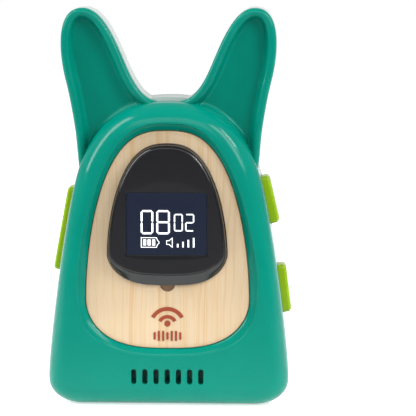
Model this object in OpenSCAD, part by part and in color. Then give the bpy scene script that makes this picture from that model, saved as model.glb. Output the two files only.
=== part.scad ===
// Toy walkie talkie: an egg-shaped body with two ears, a wooden front plate with a small
// display, press buttons on both sides, a battery bay and a sprung belt clip on the back.
// The front faces -Y, +Z is up, and the flat base stands on z = 0 with x = 0 on its middle.

/* [Body] */
// Half width of the body near its base
body_hw = 36.9; // [36.5:0.1:38]
// Height of the body at its middle, without the ears
body_h = 93.3; // [93:0.1:94.5]
// Depth of the front half, from the axis plane to the front face
front_d = 17; // [17:0.1:18]
// Depth of the rear half, from the axis plane to the back face
back_d = 17; // [17:0.1:17.2]
// Distance of the parting plane in front of the axis plane
part_d = 4; // [4:0.1:4.4]
// Wall thickness of both shells
wall = 2; // [1.8:0.1:2]
// Width of the rounding between the front or back face and the sides
edge_round = 5.6; // [5.4:0.1:5.8]

/* [Ears] */
// Height of the ear tips above the base
ear_top = 121; // [118:0.5:124]
// Depth of the ears' front rim in front of the axis plane
ear_front_d = 8.5; // [8:0.1:8.8]
// Depth of the ears' back behind the axis plane
ear_back_d = 9; // [8.5:0.1:9.5]
// Width of the raised lip around each ear's dish
ear_lip = 2.6; // [2.4:0.1:3]

/* [Front plate and display] */
// Half width of the wooden plate
wood_hw = 24.8; // [24.4:0.1:25]
// Thickness of the wooden plate
wood_t = 3; // [2.8:0.1:3]
// How far the wooden face lies behind the front face
wood_sink = 1.8; // [1.7:0.1:2]
// Half width of the black bezel
bezel_hw = 18.3; // [18.2:0.1:18.6]
// How far the bezel stands out of the wooden face
bezel_out = 4.2; // [4.1:0.1:4.6]
// Width of the display window
window_w = 24.2; // [24:0.1:24.6]
// Height of the display window
window_h = 18.8; // [18.4:0.1:19]

/* [Side buttons] */
// Length of each side button
button_l = 14.8; // [14:0.1:15.2]
// How far the side buttons stand out
button_out = 3.1; // [2.8:0.1:3.4]
// Travel of a side button
button_travel = 1; // [0.8:0.1:1]
// Length of the talk key on the other side
talk_l = 26; // [24:0.5:27]
// How far the talk key stands out
talk_out = 2.6; // [2.2:0.1:3]

/* [Battery bay] */
// Diameter of one battery cell
cell_d = 10.5; // [10:0.1:10.5]
// Length of one battery cell, with its nub
cell_l = 44.5; // [44:0.1:44.5]
// Width of the battery door
door_w = 36; // [35.5:0.1:36.5]
// Height of the battery door
door_h = 54.5; // [54:0.1:54.5]

/* [Belt clip] */
// Width of the belt clip
clip_w = 18; // [17:0.5:20]
// Clear gap between the clip and the back face
clip_gap = 6.7; // [6.7:0.1:7.2]
// Thickness of the clip
clip_t = 2.2; // [2:0.1:2.4]
// Radius of the clip's hinge pin
pin_r = 1; // [0.9:0.1:1]

/* [Hidden] */

gap = 0.3;                           // running gap around pieces that move
fit_gap = 0.15;                      // gap around pieces that are set in place
side_d = 9;                          // depth where the straight sides end and round over
shoulder = [26.7, 74];               // where the top arch meets the side
corner_r = 8;                        // height of the rounded bottom corners
base_hw = 26;                        // half width of the flat base
wood_y = -front_d + wood_sink;       // face of the wooden plate
pocket_y = wood_y + wood_t;          // floor of the pocket that the plate lies in
floor_y = pocket_y + wall;           // back of the pocket floor
bezel_y = wood_y - bezel_out;        // face of the bezel
window_z = 56.7;                     // middle height of the display
pane_t = 1.2;                        // thickness of the display's pane
mic_z = 37.8;                        // height of the microphone hole
speaker_z = 19.5;                    // height of the loudspeaker's middle
speaker_r = 13.5;                    // radius of the loudspeaker
board_y = -7.5;                      // front face of the circuit board
board_t = 1.4;                       // thickness of the circuit board
board_back = board_y + board_t;      // back face of the circuit board
board_low = 30;                      // lower edge of the circuit board
upper_seat = [29.84, 62.1, 13.5];    // upper button: x and z on the side, and lean in degrees
lower_seat = [34.26, 34.65, 7.7];    // lower button, the same
talk_seat = [31.6, 53, 10.5];        // talk key, the same, on the other side
button_d = 8.4;                      // depth of the side buttons, front to back
button_y = -part_d + gap;            // front end of the side buttons
stem_len = 4.6;                      // length of a button's stem behind its flange
flange_t = 1;                        // thickness of the flange that holds a button in
flange_gap = 0.75;                   // room between that flange and the wall
cell_pitch = 11.2;                   // spacing of the cells
cell_y = 7.7;                        // depth of the cells' axes
cell_z = 7.4;                        // lower end of the cells
bay_hw = 17;                         // half width of the battery bay
bay_z = [6.2, 53];                   // lower and upper end of the battery bay
bay_y = 2.2;                         // floor of the battery bay
bay_wall = 1.5;                      // wall of the battery bay
door_z = 5.5;                        // lower edge of the battery door
door_t = 2;                          // thickness of the battery door
door_screw_z = 56.6;                 // height of the door's screw
tab_x = 10;                          // sideways place of the door's tabs
pin_y = back_d + 4;                  // depth of the clip's pin
pin_z = 81;                          // height of the clip's pin
clip_y = back_d + clip_gap;          // inner face of the clip
clip_low = 61.8;                     // lower end of the clip
clip_high = 91;                      // upper end of the clip's thumb pad
bracket_screw_x = 9;                 // sideways place of the bracket's screws
case_screw_places = [[29, 12], [19.6, 73.6]];
board_screw_places = [[14, 79.5], [22, 43]];
switch_x = 25;                       // sideways place of the power switch
switch_z = 40;                       // lower resting height of the power switch's knob
switch_travel = 4;                   // travel of the power switch's knob

// Point on a cubic curve with four control points
function curve_at(c, t) =
    pow(1 - t, 3) * c[0] + 3 * t * pow(1 - t, 2) * c[1]
    + 3 * t * t * (1 - t) * c[2] + pow(t, 3) * c[3];

// Points along a cubic curve, without its first point
function curve(c, n) = [for (i = [1 : n]) curve_at(c, i / n)];

// Closes a right-hand half outline, listed from top to bottom, with its mirror image
function both_sides(half) =
    concat(half, [for (i = [len(half) - 2 : -1 : 1]) [-half[i][0], half[i][1]]]);

// Moves every point of a clockwise outline inwards by d, along its normal
function inset(pts, d) = [
    for (i = [0 : len(pts) - 1])
        let (run = pts[(i + 1) % len(pts)] - pts[(i + len(pts) - 1) % len(pts)])
        pts[i] + d * [run[1], -run[0]] / norm(run)
];

// Egg outline: [top, widest height, bottom, half width, upper p, q, lower p, q]
function egg(e, n = 15) = both_sides(concat(
    [for (i = [0 : n]) let (a = 90 - 90 * i / n)
        [e[3] * pow(cos(a), 2 / e[5]), e[1] + (e[0] - e[1]) * pow(sin(a), 2 / e[4])]],
    [for (i = [1 : n]) let (a = 90 * i / n)
        [e[3] * pow(cos(a), 2 / e[7]), e[1] - (e[1] - e[2]) * pow(sin(a), 2 / e[6])]]
));

// Rectangle with round corners, middle at [x, z]
function round_box(x, z, w, h, r, n = 5) = [
    for (q = [0 : 3]) for (i = [0 : n])
        let (a = 90 * q + 90 * i / n)
        [x + (abs(q - 1.5) > 1 ? 1 : -1) * (w / 2 - r) + r * cos(a),
         z + (q < 1.5 ? 1 : -1) * (h / 2 - r) + r * sin(a)]
];

body_outline = both_sides(concat(
    [[0, body_h]],
    curve([[0, body_h], [11.4, body_h], [20.3, body_h - 3.3], shoulder], 11),
    curve([shoulder, [31, 63.2], [body_hw, 18.2], [body_hw, corner_r]], 10),
    curve([[body_hw, corner_r], [body_hw, 3.2], [32.5, 0], [base_hw, 0]], 6),
    [[0, 0]]
));
rim_outline = egg([86.8, 39.2, 15.7, 27.35, 1.33, 2.84, 3.48, 2.38]);
wood_outline = egg([84.4, 33, 18.1, wood_hw, 1.85, 2.8, 1.95, 2.9]);
seat_outline = inset(wood_outline, -fit_gap);
bezel_outline = egg([80.7, 46.9, 37.6, bezel_hw, 1.78, 2.59, 1.62, 3.22]);

// Right ear: up its inner edge, over the tip, and down its outer edge into the body
ear_outline = concat(
    [[13, 80], [7.6, 93.3], [11, 99.4]],
    curve([[11, 99.4], [14.4, 105.4], [18.4, ear_top], [26.2, ear_top]], 9),
    curve([[26.2, ear_top], [34.6, ear_top], [33.2, 106.5], [31.4, 99.4]], 9),
    [[28.6, 84.2], [26.2, 70]]
);
ear_foot = concat(
    [[3.5, 90], [3.5, body_h]],
    curve([[3.5, body_h], [7, body_h + 0.6], [9.2, 96.1], [11, 99.4]], 6),
    [[14, 90]]
);

// Extrudes an x-z outline from depth y0 to depth y1
module slab(y0, y1, pts) {
    translate([0, y1, 0]) rotate([90, 0, 0]) linear_extrude(y1 - y0) polygon(pts);
}

// Cylinder along y from depth y0 to y1
module peg(x, z, r, y0, y1, n = 32) {
    translate([x, y1, z]) rotate([90, 0, 0]) cylinder(r = r, h = y1 - y0, $fn = n);
}

// Box from one corner to the opposite one
module block(a, b) {
    translate(a) cube(b - a);
}

// Solid through outlines of equal point count, one at each depth in ys
module loft(ys, outlines) {
    n = len(outlines[0]);
    last = len(ys) - 1;
    polyhedron([for (i = [0 : last]) for (p = outlines[i]) [p[0], ys[i], p[1]]], concat(
        [[for (k = [0 : n - 1]) k]],
        [for (i = [0 : last - 1]) for (k = [0 : n - 1])
            let (a = i * n + k, b = i * n + (k + 1) % n)
            each [[a, a + n, b], [b, a + n, b + n]]],
        [[for (k = [n - 1 : -1 : 0]) last * n + k]]
    ));
}

// Point-by-point blend of two outlines, from a at t = 0 to b at t = 1
function blend(a, b, t) = [for (i = [0 : len(a) - 1]) a[i] * (1 - t) + b[i] * t];

// Body half as one rounded solid, inset by d, from over beyond the parting plane to the face
module body_half(face, d, over = 0) {
    dir = sign(face);
    flat = abs(face) - side_d - d;
    turns = [0 : 15 : 90];
    hull() loft(
        [-part_d - dir * over, for (a = turns) dir * (side_d + flat * sin(a))],
        [inset(body_outline, d),
         for (a = turns) inset(body_outline, d + edge_round * (1 - cos(a)))]
    );
}

// One ear as a blade whose free end is rounded by soft, all inset by d
module ear_blade(free, flat, d, soft) {
    dir = sign(flat - free);
    hull() loft(
        [free, free + dir * soft * 0.3, free + dir * soft, flat],
        [for (e = [soft, soft * 0.3, 0, 0]) inset(ear_outline, d + e)]
    );
}

// Repeats its children on the left and on the right
module each_side() {
    children();
    mirror([1, 0, 0]) children();
}

// Moves to a seat on the side, with local x along the outward normal and z up the side
module on_side(seat) {
    translate([seat[0], 0, seat[1]]) rotate([0, -seat[2], 0]) children();
}

// ---- casing ----

module front_shell() {
    color("#069c87")
    difference() {
        union() {
            difference() {
                union() {
                    body_half(-front_d, 0);
                    each_side() {
                        difference() {
                            ear_blade(-ear_front_d, -part_d, 0, 1);
                            ear_blade(-ear_front_d + 2.8, -ear_front_d - 1, ear_lip, 0.8);
                        }
                        slab(-ear_front_d + 1, -part_d, ear_foot);
                    }
                }
                body_half(-front_d, wall, 1);
            }
            intersection() {
                body_half(-front_d, 0.5);
                slab(-front_d, floor_y, inset(wood_outline, -wall - 0.25));
            }
            each_side() for (p = case_screw_places) hull() {
                peg(p[0], p[1], 3.4, -front_d + 1.2, -front_d + 2);
                peg(p[0], p[1], 3, -part_d - 1, -part_d);
            }
            each_side() for (p = board_screw_places) {
                peg(p[0], p[1], 2.4, -front_d + 3, board_y);
            }
            // ring that the loudspeaker sits in
            difference() {
                peg(0, speaker_z, speaker_r + 1.4, floor_y - 1, floor_y + 2.4, 48);
                peg(0, speaker_z, speaker_r + fit_gap, floor_y, floor_y + 3, 48);
            }
        }
        // bevel that leads from the rim line down to the wood, and the pocket below it
        loft([-front_d - wood_sink * 0.2, wood_y, pocket_y],
             [blend(rim_outline, seat_outline, -0.2), seat_outline, seat_outline]);
        slab(pocket_y - 1, floor_y + 1, round_box(0, window_z, 24, 16, 1));
        peg(0, mic_z, 1, pocket_y - 1, floor_y + 1, 24);
        // openings in front of the loudspeaker, hidden behind the wood, and slots below it
        for (a = [0 : 60 : 300])
            peg(6 * cos(a), speaker_z + 6 + 6 * sin(a), 1.5, pocket_y - 1, floor_y + 1, 16);
        for (i = [-3 : 3])
            slab(-front_d - 1, -front_d + wall + 3, round_box(3.4 * i, 9.6, 1.6, 4.6, 0.7, 4));
        each_side() {
            for (p = case_screw_places) peg(p[0], p[1], 1.3, -front_d + 7, -part_d + 1, 24);
            for (p = board_screw_places) peg(p[0], p[1], 0.9, board_y - 4.5, board_y + 1, 24);
        }
    }
}

module rear_shell() {
    color("#d6dfdb")
    difference() {
        union() {
            difference() {
                union() {
                    body_half(back_d, 0);
                    each_side() {
                        ear_blade(ear_back_d, -part_d, 0, 2.2);
                        slab(-part_d, ear_back_d - 2, ear_foot);
                    }
                }
                body_half(back_d, wall, 1);
                each_side() ear_blade(ear_back_d - wall, -part_d - 1, wall, 1);
            }
            // battery tub and the boss for the door's screw
            block([-bay_hw - bay_wall, bay_y - bay_wall, bay_z[0] - bay_wall],
                  [bay_hw + bay_wall, back_d - 1, bay_z[1] + bay_wall]);
            peg(0, door_screw_z, 3.4, back_d - 8, back_d - 1);
            block([-door_w / 2 - 1, back_d - door_t - 1.2, 3],
                  [door_w / 2 + 1, back_d - 1, door_z + door_h + 1]);
            each_side() for (p = case_screw_places) hull() {
                peg(p[0], p[1], 3, -part_d, 0);
                peg(p[0], p[1], 3.6, back_d - 2.5, back_d - 1.5);
            }
        }
        block([-bay_hw, bay_y, bay_z[0]], [bay_hw, back_d + 1, bay_z[1]]);
        slab(back_d - door_t, back_d + 1,
             round_box(0, door_z + door_h / 2, door_w + 2 * fit_gap, door_h + 2 * fit_gap, 3));
        each_side()
            block([tab_x - 3.2, back_d - 4.8, 3.1], [tab_x + 3.2, back_d - door_t + 0.01, 7]);
        peg(0, door_screw_z, 1.6, back_d - 7, back_d, 24);
        each_side() for (p = case_screw_places) {
            peg(p[0], p[1], 1.5, -part_d - 1, back_d + 1, 24);
            peg(p[0], p[1], 2.6, 4, back_d + 1, 24);
        }
        // windows of the side buttons and the talk key, open to the parting plane
        for (s = [upper_seat, lower_seat]) on_side(s)
            block([-6, -part_d - 1, -button_l / 2 - gap],
                  [6, button_y + button_d + gap, button_l / 2 + gap]);
        mirror([1, 0, 0]) on_side(talk_seat)
            block([-6, -part_d - 1, -talk_l / 2 - gap],
                  [6, button_y + button_d + gap, talk_l / 2 + gap]);
        // slot and shallow well of the power switch
        slab(back_d - 0.8, back_d + 1,
             round_box(switch_x, switch_z + switch_travel / 2, 5, switch_travel + 8, 1.2));
        slab(back_d - 5, back_d,
             round_box(switch_x, switch_z + switch_travel / 2, 2.6, switch_travel + 3.2, 0.6));
        each_side() peg(bracket_screw_x, pin_z, 1.1, back_d - 4, back_d + 1, 24);
    }
}

module wood_faceplate() {
    color("#e9cfa5")
    difference() {
        slab(wood_y, pocket_y, wood_outline);
        slab(wood_y - 1, pocket_y + 1, inset(bezel_outline, 3 - fit_gap));
        peg(0, mic_z, 2.3, wood_y - 1, pocket_y + 1);
    }
}

module emblem() {
    thick = 0.15;
    low = 25.2;
    arcs = [[2.6, 1.1], [5, 1.2]];
    color("#9c4a2e") {
        peg(0, low + 0.5, 0.95, wood_y - thick, wood_y, 24);
        for (a = arcs) intersection() {
            difference() {
                peg(0, low, a[0] + a[1] / 2, wood_y - thick, wood_y, 64);
                peg(0, low, a[0] - a[1] / 2, wood_y - 1, wood_y + 1, 64);
            }
            slab(wood_y - 1, wood_y + 1, [[0, low], [-8, low + 8 * tan(28)], [-8, low + 12],
                                          [8, low + 12], [8, low + 8 * tan(28)]]);
        }
        for (i = [-3 : 3])
            slab(wood_y - thick, wood_y,
                 round_box(1.3 * i, 21.9, 0.7, 3.6 - 0.85 * abs(abs(i) - 1.5), 0.3, 4));
    }
}

// ---- display ----

module screen_bezel() {
    window = round_box(0, window_z, window_w + 0.3, window_h + 0.3, 0.8);
    color("#202226")
    difference() {
        union() {
            slab(wood_y - 1.2, wood_y, bezel_outline);
            hull() {
                slab(bezel_y, bezel_y + 0.4, inset(bezel_outline, 1.6));
                slab(bezel_y + 1.2, wood_y - 1.2, inset(bezel_outline, 0.3));
            }
            slab(wood_y, pocket_y, inset(bezel_outline, 3));
        }
        slab(bezel_y - 1, bezel_y + 2, window);
        slab(bezel_y + pane_t, pocket_y + 1, round_box(0, window_z, 28, 21.4, 1));
        peg(0, mic_z, 1, wood_y - 0.8, pocket_y + 1, 24);
    }
}

module screen_window() {
    color("#1b2130")
    slab(bezel_y + 0.05, bezel_y + pane_t,
         round_box(0, window_z, window_w, window_h, 0.7));
}

module lcd_panel() {
    color("#2a3350")
    slab(bezel_y + pane_t, bezel_y + pane_t + 1.8, round_box(0, window_z, 27.6, 21, 0.6));
}

module lcd_backlight() {
    top_y = bezel_y + pane_t + 1.8;
    color("#e8ecef") {
        slab(top_y, top_y + 1.2, round_box(0, window_z, 27.2, 20.6, 0.6));
        slab(top_y + 1.2, pocket_y, round_box(0, window_z, 22, 15, 0.6));
    }
}

module lcd_connector() {
    color("#3b4048")
    block([-9, pocket_y, window_z - 2], [9, board_y, window_z + 2]);
}

// ---- electronics ----

module main_board() {
    outline = inset(body_outline, wall + 3);
    color("#2f6b3c")
    difference() {
        slab(board_y, board_back, outline);
        block([-50, board_y - 1, -10], [50, board_back + 1, board_low]);
        peg(0, speaker_z, speaker_r + 1.8, board_y - 1, board_back + 1);
        each_side() {
            for (p = case_screw_places) peg(p[0], p[1], 3.3, board_y - 1, board_back + 1);
            for (p = board_screw_places) peg(p[0], p[1], 1.1, board_y - 1, board_back + 1);
        }
    }
}

module radio_shield() {
    color("#b9bdc0")
    difference() {
        block([-12, board_back, 61], [10, board_back + 3.2, 78]);
        block([-11.6, board_back - 1, 61.4], [9.6, board_back + 2.8, 77.6]);
    }
}

module board_chips() {
    color("#26282b") {
        block([-7, board_back, 45], [3, board_back + 1.6, 55]);
        block([7, board_back, 46], [12, board_back + 1.5, 51]);
        block([-16, board_back, 50], [-11, board_back + 1.4, 56]);
        peg(9, 57.5, 2, board_back, board_back + 3.4, 24);
    }
}

module microphone() {
    color("#8f9396")
    difference() {
        peg(0, mic_z, 2, floor_y, board_y, 32);
        peg(0, mic_z, 0.7, floor_y - 1, floor_y + 0.8, 16);
    }
}

module speaker_frame() {
    color("#45494d")
    translate([0, floor_y, speaker_z]) rotate([-90, 0, 0])
    rotate_extrude($fn = 64) polygon([
        [speaker_r - 2, 0], [speaker_r, 0], [speaker_r, 1], [speaker_r - 1, 1.2],
        [8.2, 4.6], [6, 4.6], [6, 3.8], [7.8, 3.8], [speaker_r - 2, 0.9]
    ]);
}

module speaker_cone() {
    color("#2b2c2e")
    translate([0, floor_y, speaker_z]) rotate([-90, 0, 0])
    rotate_extrude($fn = 64) polygon([
        [0, 2.2], [3, 2.2], [4.5, 2.9], [speaker_r - 3.4, 0.9], [speaker_r - 2.6, 0.4],
        [speaker_r - 2.1, 0.4], [speaker_r - 2.1, 0.6], [speaker_r - 3.3, 1.2],
        [5, 3.4], [2.6, 2.8], [0, 2.8]
    ]);
}

module speaker_magnet() {
    color("#9aa0a3")
    difference() {
        peg(0, speaker_z, 7.6, floor_y + 4.6, floor_y + 9, 48);
        peg(0, speaker_z, 1, floor_y + 4, floor_y + 10, 24);
    }
}

module tact_switch(seat) {
    reach = wall + flange_gap + flange_t + stem_len + button_travel + 0.05;
    on_side(seat) {
        block([-reach - 4.4, board_back, -3], [-reach - 0.9, board_back + 6, 3]);
        translate([-reach - 0.9, board_back + 3.6, 0]) rotate([0, 90, 0])
            cylinder(r = 1.4, h = 0.9, $fn = 24);
    }
}

module tact_switches() {
    color("#303236") {
        tact_switch(upper_seat);
        tact_switch(lower_seat);
        mirror([1, 0, 0]) tact_switch(talk_seat);
    }
}

// Turns of round wire about z from the angle start: radii at both ends, height, turns, wire
// radius, and straight legs that run on from the first and the last ring
module coil(r0, r1, h, turns, wire, start = 0, leg0 = 0, leg1 = 0, per_turn = 14, sides = 6) {
    steps = round(turns * per_turn);
    ring = function (t, run)
        let (a = start + 360 * turns * t, r = r0 + (r1 - r0) * t)
        [for (k = [0 : sides - 1]) let (b = 360 * k / sides, q = r + wire * cos(b))
            [q * cos(a) - run * sin(a), q * sin(a) + run * cos(a), h * t + wire * sin(b)]];
    rings = concat(
        leg0 > 0 ? [ring(0, -leg0)] : [],
        [for (i = [0 : steps]) ring(i / steps, 0)],
        leg1 > 0 ? [ring(1, leg1)] : []
    );
    last = len(rings) - 1;
    polyhedron([for (r = rings) each r], concat(
        [[for (k = [0 : sides - 1]) k]],
        [for (i = [0 : last - 1]) for (k = [0 : sides - 1])
            let (a = i * sides + k, b = i * sides + (k + 1) % sides)
            each [[a, a + sides, b], [b, a + sides, b + sides]]],
        [[for (k = [sides - 1 : -1 : 0]) last * sides + k]]
    ));
}

module antenna_coil() {
    color("#b8793f")
    translate([22.5, 1.5, 88]) rotate([0, 8, 0]) coil(1.8, 1.8, 22, 9, 0.35);
}

// ---- buttons ----

module side_button(seat, length, out) {
    in_wall = wall + flange_gap;
    on_side(seat) {
        translate([(out - in_wall) / 2, 0, 0])
            slab(button_y, button_y + button_d,
                 round_box(0, 0, out + in_wall, length, 1.4));
        block([-in_wall - flange_t, button_y - 1, -length / 2 - 1.2],
              [-in_wall, button_y + button_d + 1, length / 2 + 1.2]);
        translate([-in_wall - flange_t - stem_len, board_back + 3.6, 0]) rotate([0, 90, 0])
            cylinder(r = 1.6, h = stem_len, $fn = 32);
    }
}

module upper_button() {
    color("#a3c714") side_button(upper_seat, button_l, button_out);
}

module lower_button() {
    color("#a3c714") side_button(lower_seat, button_l, button_out);
}

module talk_key() {
    color("#a3c714") mirror([1, 0, 0]) side_button(talk_seat, talk_l, talk_out);
}

module power_switch_body() {
    mid = switch_z + switch_travel / 2;
    color("#3a3d41")
    difference() {
        block([switch_x - 3, back_d - 8.6, mid - 6.5], [switch_x + 3, back_d - 5, mid + 6.5]);
        block([switch_x - 1.6, back_d - 7, mid - 4], [switch_x + 1.6, back_d - 4, mid + 4]);
    }
}

module power_switch_knob() {
    color("#a3c714") {
        block([switch_x - 1, back_d - 6.6, switch_z - 1.2],
              [switch_x + 1, back_d - 0.5, switch_z + 1.2]);
        slab(back_d - 0.5, back_d + 1.1, round_box(switch_x, switch_z, 4, 3.4, 0.7));
    }
}

// ---- power ----

module cell(place, up) {
    nub = 1.2;
    color("#3f4a52")
    translate([place * cell_pitch, cell_y, cell_z + (up ? 0 : cell_l)])
    mirror([0, 0, up ? 0 : 1]) {
        cylinder(r = cell_d / 2, h = cell_l - nub, $fn = 48);
        translate([0, 0, cell_l - nub]) cylinder(r = 1.9, h = nub, $fn = 32);
    }
}

module left_cell() {
    cell(-1, true);
}

module middle_cell() {
    cell(0, false);
}

module right_cell() {
    cell(1, true);
}

module cell_springs() {
    low = bay_z[0] + 0.3;
    high = cell_z + cell_l;
    color("#c9ccce") {
        for (s = [-1, 1]) translate([s * cell_pitch, cell_y, low + 0.25])
            coil(3.2, 2.2, cell_z - low - 0.5, 1.5, 0.25);
        translate([0, cell_y, high + 0.25])
            coil(2.2, 3.2, bay_z[1] - high - 0.8, 1.5, 0.25);
    }
}

module cell_plates() {
    t = 0.3;
    low = bay_z[0];
    high = bay_z[1] - t;
    color("#c2b37a") {
        block([-cell_pitch - 4, cell_y - 4, low], [-cell_pitch + 4, cell_y + 4, low + t]);
        block([-4.2, cell_y - 4, low], [cell_pitch + 4, cell_y + 4, low + t]);
        block([-4, cell_y - 2.5, low + t], [4, cell_y + 2.5, cell_z]);
        block([-cell_pitch - 4, cell_y - 4, high], [4.2, cell_y + 4, high + t]);
        block([cell_pitch - 4, cell_y - 4, high], [cell_pitch + 4, cell_y + 4, high + t]);
        for (s = [-1, 1])
            block([s * cell_pitch - 2.5, cell_y - 2.5, cell_z + cell_l],
                  [s * cell_pitch + 2.5, cell_y + 2.5, high]);
    }
}

module battery_door() {
    color("#cfd8d4")
    difference() {
        union() {
            slab(back_d - door_t, back_d,
                 round_box(0, door_z + door_h / 2, door_w, door_h, 2.9));
            each_side()
                block([tab_x - 2.6, back_d - 4, 3.5], [tab_x + 2.6, back_d - door_t, 6.8]);
        }
        peg(0, door_screw_z, 1.5, back_d - 3, back_d + 1);
        peg(0, door_screw_z, 2.8, back_d - 1.2, back_d + 1);
        for (i = [-3 : 3])
            slab(back_d - 0.6, back_d + 1, round_box(0, 15 + 2.4 * i, 14, 1, 0.4, 4));
    }
}

// Pan-head screw along y: its head's seat at depth y, its shank of length l towards -y
module screw(x, z, y, r, l, head_r, head_h, dir = -1) {
    y_tip = y + dir * l;
    y_top = y - dir * head_h;
    difference() {
        union() {
            peg(x, z, r, min(y, y_tip), max(y, y_tip), 24);
            peg(x, z, head_r, min(y, y_top), max(y, y_top), 32);
        }
        for (a = [0, 90])
            translate([x, y_top, z]) rotate([0, a, 0])
                cube([head_r * 1.3, head_h, 0.5], center = true);
    }
}

module door_screw() {
    color("#a9adb0") screw(0, door_screw_z, back_d - 1.2, 1.2, 3.8, 2.5, 1);
}

module case_screws() {
    color("#a9adb0") each_side() for (p = case_screw_places)
        screw(p[0], p[1], 4, 1.2, 13, 2.3, 1.4);
}

module board_screws() {
    color("#a9adb0") each_side() for (p = board_screw_places)
        screw(p[0], p[1], board_back, 0.85, 5, 1.8, 1);
}

// ---- belt clip ----

module belt_clip() {
    tip_y = back_d + 0.5;
    out_y = clip_y + clip_t;
    knuckle_r = 2.2;
    color("#cfd8d4")
    difference() {
        union() {
            difference() {
                slab(clip_y, out_y, round_box(0, (clip_low + clip_high) / 2, clip_w,
                                              clip_high - clip_low, 4));
                for (i = [0 : 3])
                    block([-6, out_y - 0.6, clip_high - 3 - 1.8 * i],
                          [6, out_y + 1, clip_high - 2.1 - 1.8 * i]);
            }
            translate([-clip_w / 2 + 3, 0, 0]) rotate([90, 0, 90]) linear_extrude(clip_w - 6)
                polygon([[clip_y + 0.1, clip_low + 0.4], [tip_y + 0.4, clip_low + 0.4],
                         [tip_y, clip_low + 1], [tip_y, clip_low + 1.6],
                         [clip_y + 0.1, clip_low + 5]]);
            each_side() translate([2.8, pin_y, pin_z]) rotate([0, 90, 0])
                cylinder(r = knuckle_r, h = 2.4, $fn = 40);
            each_side() block([2.8, pin_y, pin_z - knuckle_r],
                              [5.2, clip_y + 0.1, pin_z + knuckle_r]);
        }
        translate([-20, pin_y, pin_z]) rotate([0, 90, 0])
            cylinder(r = pin_r + 0.05, h = 40, $fn = 40);
    }
}

module clip_bracket() {
    lug_r = 2.4;
    base_t = 1.5;
    color("#cfd8d4")
    difference() {
        union() {
            block([-11, back_d, pin_z - 5], [11, back_d + base_t, pin_z + 4]);
            each_side() {
                translate([5.5, pin_y, pin_z]) rotate([0, 90, 0])
                    cylinder(r = lug_r, h = 2, $fn = 40);
                block([5.5, back_d + 1, pin_z - lug_r], [7.5, pin_y, pin_z + lug_r]);
                block([7.5, back_d + 1, pin_z - 2], [10.6, back_d + 4, pin_z + 2]);
            }
        }
        translate([-20, pin_y, pin_z]) rotate([0, 90, 0]) cylinder(r = pin_r, h = 40, $fn = 40);
        each_side() peg(bracket_screw_x, pin_z, 0.9, back_d - 1, back_d + 2.6, 24);
    }
}

module clip_pin() {
    color("#b4b8ba")
    translate([-7.4, pin_y, pin_z]) rotate([0, 90, 0]) cylinder(r = pin_r, h = 14.8, $fn = 40);
}

module clip_spring() {
    color("#b4b8ba")
    translate([-2.2, pin_y, pin_z]) rotate([0, 90, 0])
        coil(1.6, 1.6, 4.4, 3, 0.3, 180, clip_y - pin_y - 0.05, pin_y - back_d - 1.55);
}

module bracket_screws() {
    color("#a9adb0") each_side()
        screw(bracket_screw_x, pin_z, back_d - wall, 0.85, wall + 2.4, 1.8, 1, 1);
}

front_shell();
rear_shell();
wood_faceplate();
emblem();
screen_bezel();
screen_window();
lcd_panel();
lcd_backlight();
lcd_connector();
main_board();
radio_shield();
board_chips();
microphone();
speaker_frame();
speaker_cone();
speaker_magnet();
upper_button();
lower_button();
talk_key();
tact_switches();
power_switch_body();
power_switch_knob();
antenna_coil();
left_cell();
middle_cell();
right_cell();
cell_springs();
cell_plates();
battery_door();
door_screw();
belt_clip();
clip_bracket();
clip_pin();
clip_spring();
bracket_screws();
case_screws();
board_screws();
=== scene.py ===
"""Toy walkie talkie: the finished casings, display, buttons and stage, built around the frame."""

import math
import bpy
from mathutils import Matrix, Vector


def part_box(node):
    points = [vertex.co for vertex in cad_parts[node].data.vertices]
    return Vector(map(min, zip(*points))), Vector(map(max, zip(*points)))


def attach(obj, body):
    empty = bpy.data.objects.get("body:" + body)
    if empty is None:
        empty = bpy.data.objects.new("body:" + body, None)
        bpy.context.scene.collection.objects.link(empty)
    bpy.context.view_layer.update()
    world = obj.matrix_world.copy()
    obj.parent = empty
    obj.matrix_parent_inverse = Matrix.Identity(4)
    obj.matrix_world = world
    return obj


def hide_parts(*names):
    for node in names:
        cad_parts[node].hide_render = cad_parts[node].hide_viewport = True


bl_info = {
    "name": "Toy Walkie Talkie",
    "version": (1, 0, 0),
    "blender": (4, 5, 0),
    "location": "3D View > Sidebar > Walkie",
    "description": "Builds the visible pieces of a toy walkie talkie around its CAD frame",
    "category": "Add Mesh",
}

import bpy
import numpy as np
from bpy.props import FloatProperty, FloatVectorProperty, IntProperty, PointerProperty
from mathutils import Matrix, Vector

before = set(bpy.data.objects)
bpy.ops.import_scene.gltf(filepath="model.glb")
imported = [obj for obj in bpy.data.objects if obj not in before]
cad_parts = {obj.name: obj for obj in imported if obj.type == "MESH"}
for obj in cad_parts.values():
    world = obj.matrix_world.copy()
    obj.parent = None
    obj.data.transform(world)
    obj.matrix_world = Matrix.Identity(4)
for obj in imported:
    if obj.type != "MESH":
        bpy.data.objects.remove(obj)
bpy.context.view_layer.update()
MM = 0.001
CENTRE = np.array([0.0, 56.0])        # every star-shaped outline is seen from here, x and z in mm
PARTING = -4.0                        # depth of the parting plane, in mm
EAR_MIDDLE = np.array([24.0, 98.0])   # point that the right ear's rings shrink to
EAR_END = 0.985                       # share of the way to EAR_MIDDLE where the rings stop
EAR_CREST = -8.5                      # depth of the crest of the ears' lips
DISH_DEPTH = 2.0                      # how far the ears' dishes lie behind the middle of the lip
CORE_ROUND = 5.6                      # rounding of the hollow inside the casing
MIC_HEIGHT = 37.8                     # height of the microphone hole
CASE_SCREWS = ((29, 12), (19.6, 73.6))
SHORT_BUTTON = 14.8                   # length of the upper and lower buttons
TALK_LENGTH = 26.0                    # length of the talk key


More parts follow.
